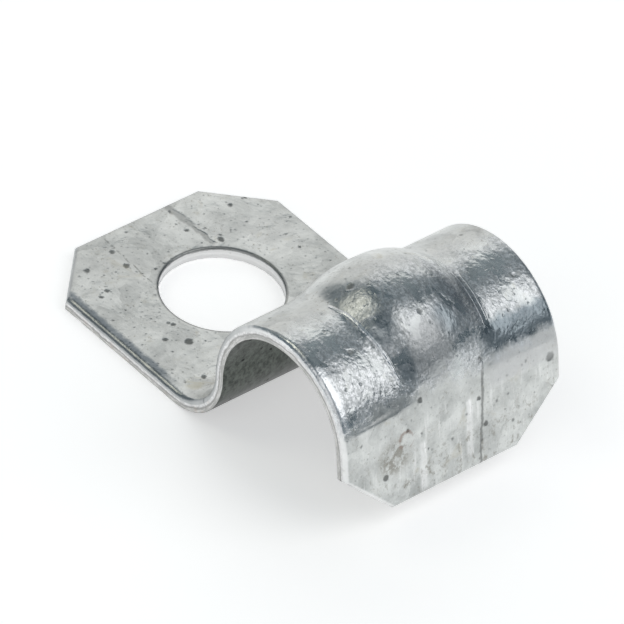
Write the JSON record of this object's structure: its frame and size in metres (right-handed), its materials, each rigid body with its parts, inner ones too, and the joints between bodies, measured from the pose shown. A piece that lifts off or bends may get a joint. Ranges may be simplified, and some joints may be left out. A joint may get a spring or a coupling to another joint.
{
  "type": "conduit strap",
  "caption": "One-hole sheet steel strap: flat foot with a screw hole, heel bend, round saddle with a pressed stiffening rib, and a free leg.",
  "frame": {"origin": "axis of the screw hole, on the underside of the foot", "axes": "+X from the foot to the saddle, +Y along the conduit, +Z away from the mounting surface"},
  "size_m": [0.0337, 0.019, 0.0143],
  "materials": {
    "galvanised_steel": "galvanised sheet, dull zinc grey with small pits, rubbed bright where it was bent"
  },
  "bodies": {
    "root": {"strap": "galvanised_steel"}
  },
  "joints": []
}
